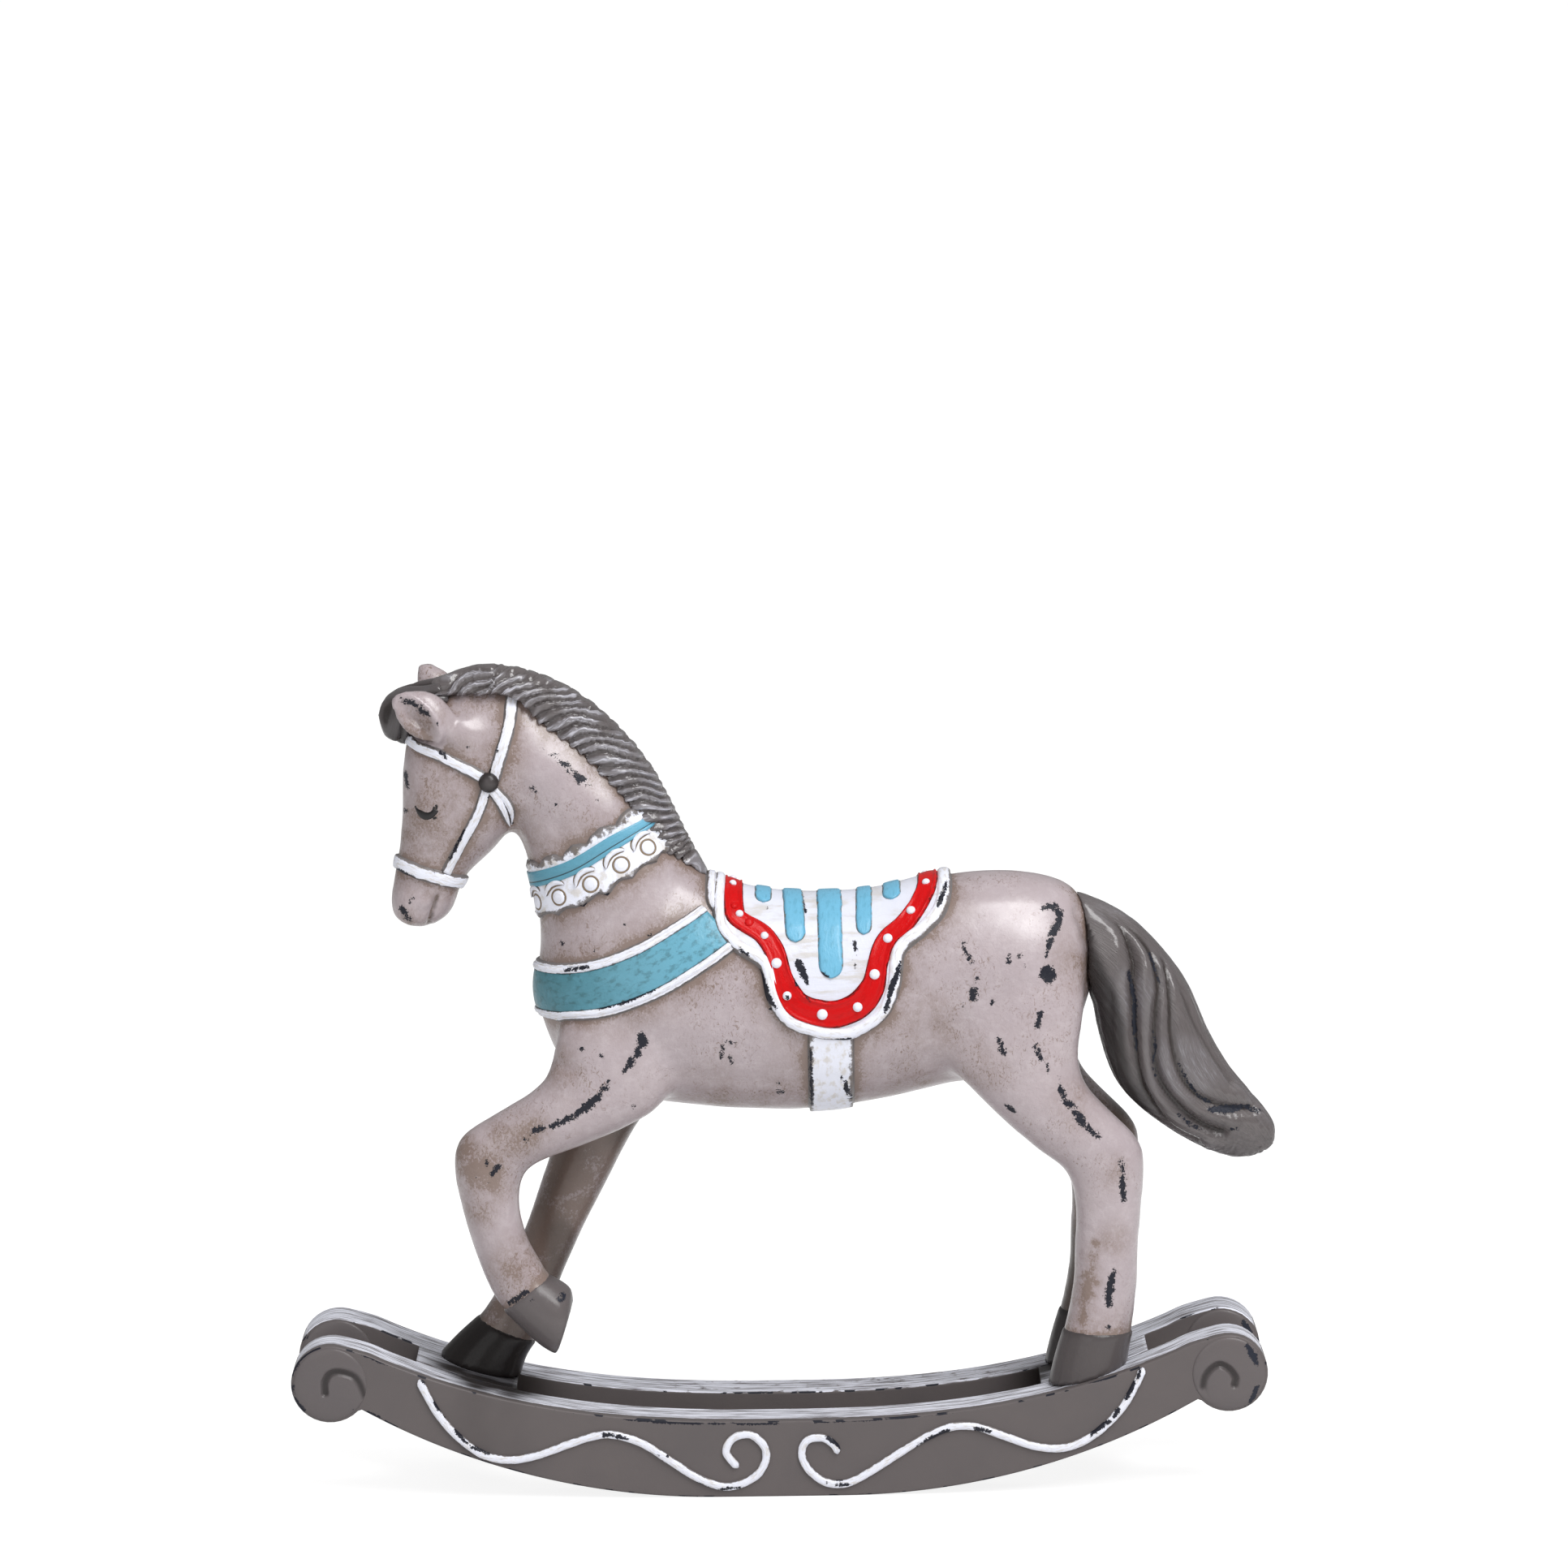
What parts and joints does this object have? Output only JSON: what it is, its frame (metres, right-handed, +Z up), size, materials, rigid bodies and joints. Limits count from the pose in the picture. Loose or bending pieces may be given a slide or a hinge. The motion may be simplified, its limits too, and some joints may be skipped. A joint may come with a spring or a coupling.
{
  "type": "rocking horse",
  "caption": "Small decorative rocking horse: a saddled horse with one raised foreleg fixed on two scroll-ended curved rockers.",
  "frame": {"origin": "on the floor, at the middle of the part's bounding box", "axes": "+X from the horse's head to its tail, +Y to the horse's right side, +Z up"},
  "size_m": [0.2028, 0.0416, 0.1703],
  "materials": {
    "horse_coat": "satin pinkish-taupe paint on cast resin, brown wash in the creases, dark chips",
    "dark_taupe": "satin dark taupe paint, dry-brushed ridges",
    "white_trim": "cool white paint with brushed grime and dark chips",
    "blue_trim": "satin dusty blue paint",
    "red_trim": "glossy red paint",
    "dowel_wood": "plain hardwood dowel",
    "screw_steel": "plain steel"
  },
  "bodies": {
    "root": {"rocker_rail_left": "dark_taupe", "rocker_rail_right": "dark_taupe", "front_plate": "dark_taupe", "rear_plate": "dark_taupe", "rail_vine_left": "white_trim", "rail_vine_right": "white_trim", "plate_dowels": "dowel_wood", "hoof_screws": "screw_steel", "torso": "horse_coat", "neck": "horse_coat", "head": "horse_coat", "ear_left": "horse_coat", "ear_right": "horse_coat", "eyelids": "dark_taupe", "forelock": "dark_taupe", "mane": "dark_taupe", "tail": "dark_taupe", "foreleg_left": "horse_coat", "foreleg_right": "horse_coat", "hind_leg_left": "horse_coat", "hind_leg_right": "horse_coat", "hoof_fore_left": "dark_taupe", "hoof_fore_right": "dark_taupe", "hoof_hind_left": "dark_taupe", "hoof_hind_right": "dark_taupe", "saddle_cloth": "white_trim", "saddle_border": "red_trim", "saddle_stripes": "blue_trim", "saddle_studs": "white_trim", "girth_strap": "white_trim", "breast_band": "blue_trim", "breast_band_piping": "white_trim", "collar_lace": "white_trim", "collar_ribbon": "blue_trim", "collar_beads": "white_trim", "browband": "white_trim", "noseband": "white_trim", "cheek_straps": "white_trim", "crown_strap": "white_trim", "throat_latch": "white_trim", "bridle_bosses": "dark_taupe", "neck_dowel": "dowel_wood", "head_dowel": "dowel_wood", "tail_dowel": "dowel_wood", "leg_dowels": "dowel_wood"}
  },
  "joints": []
}
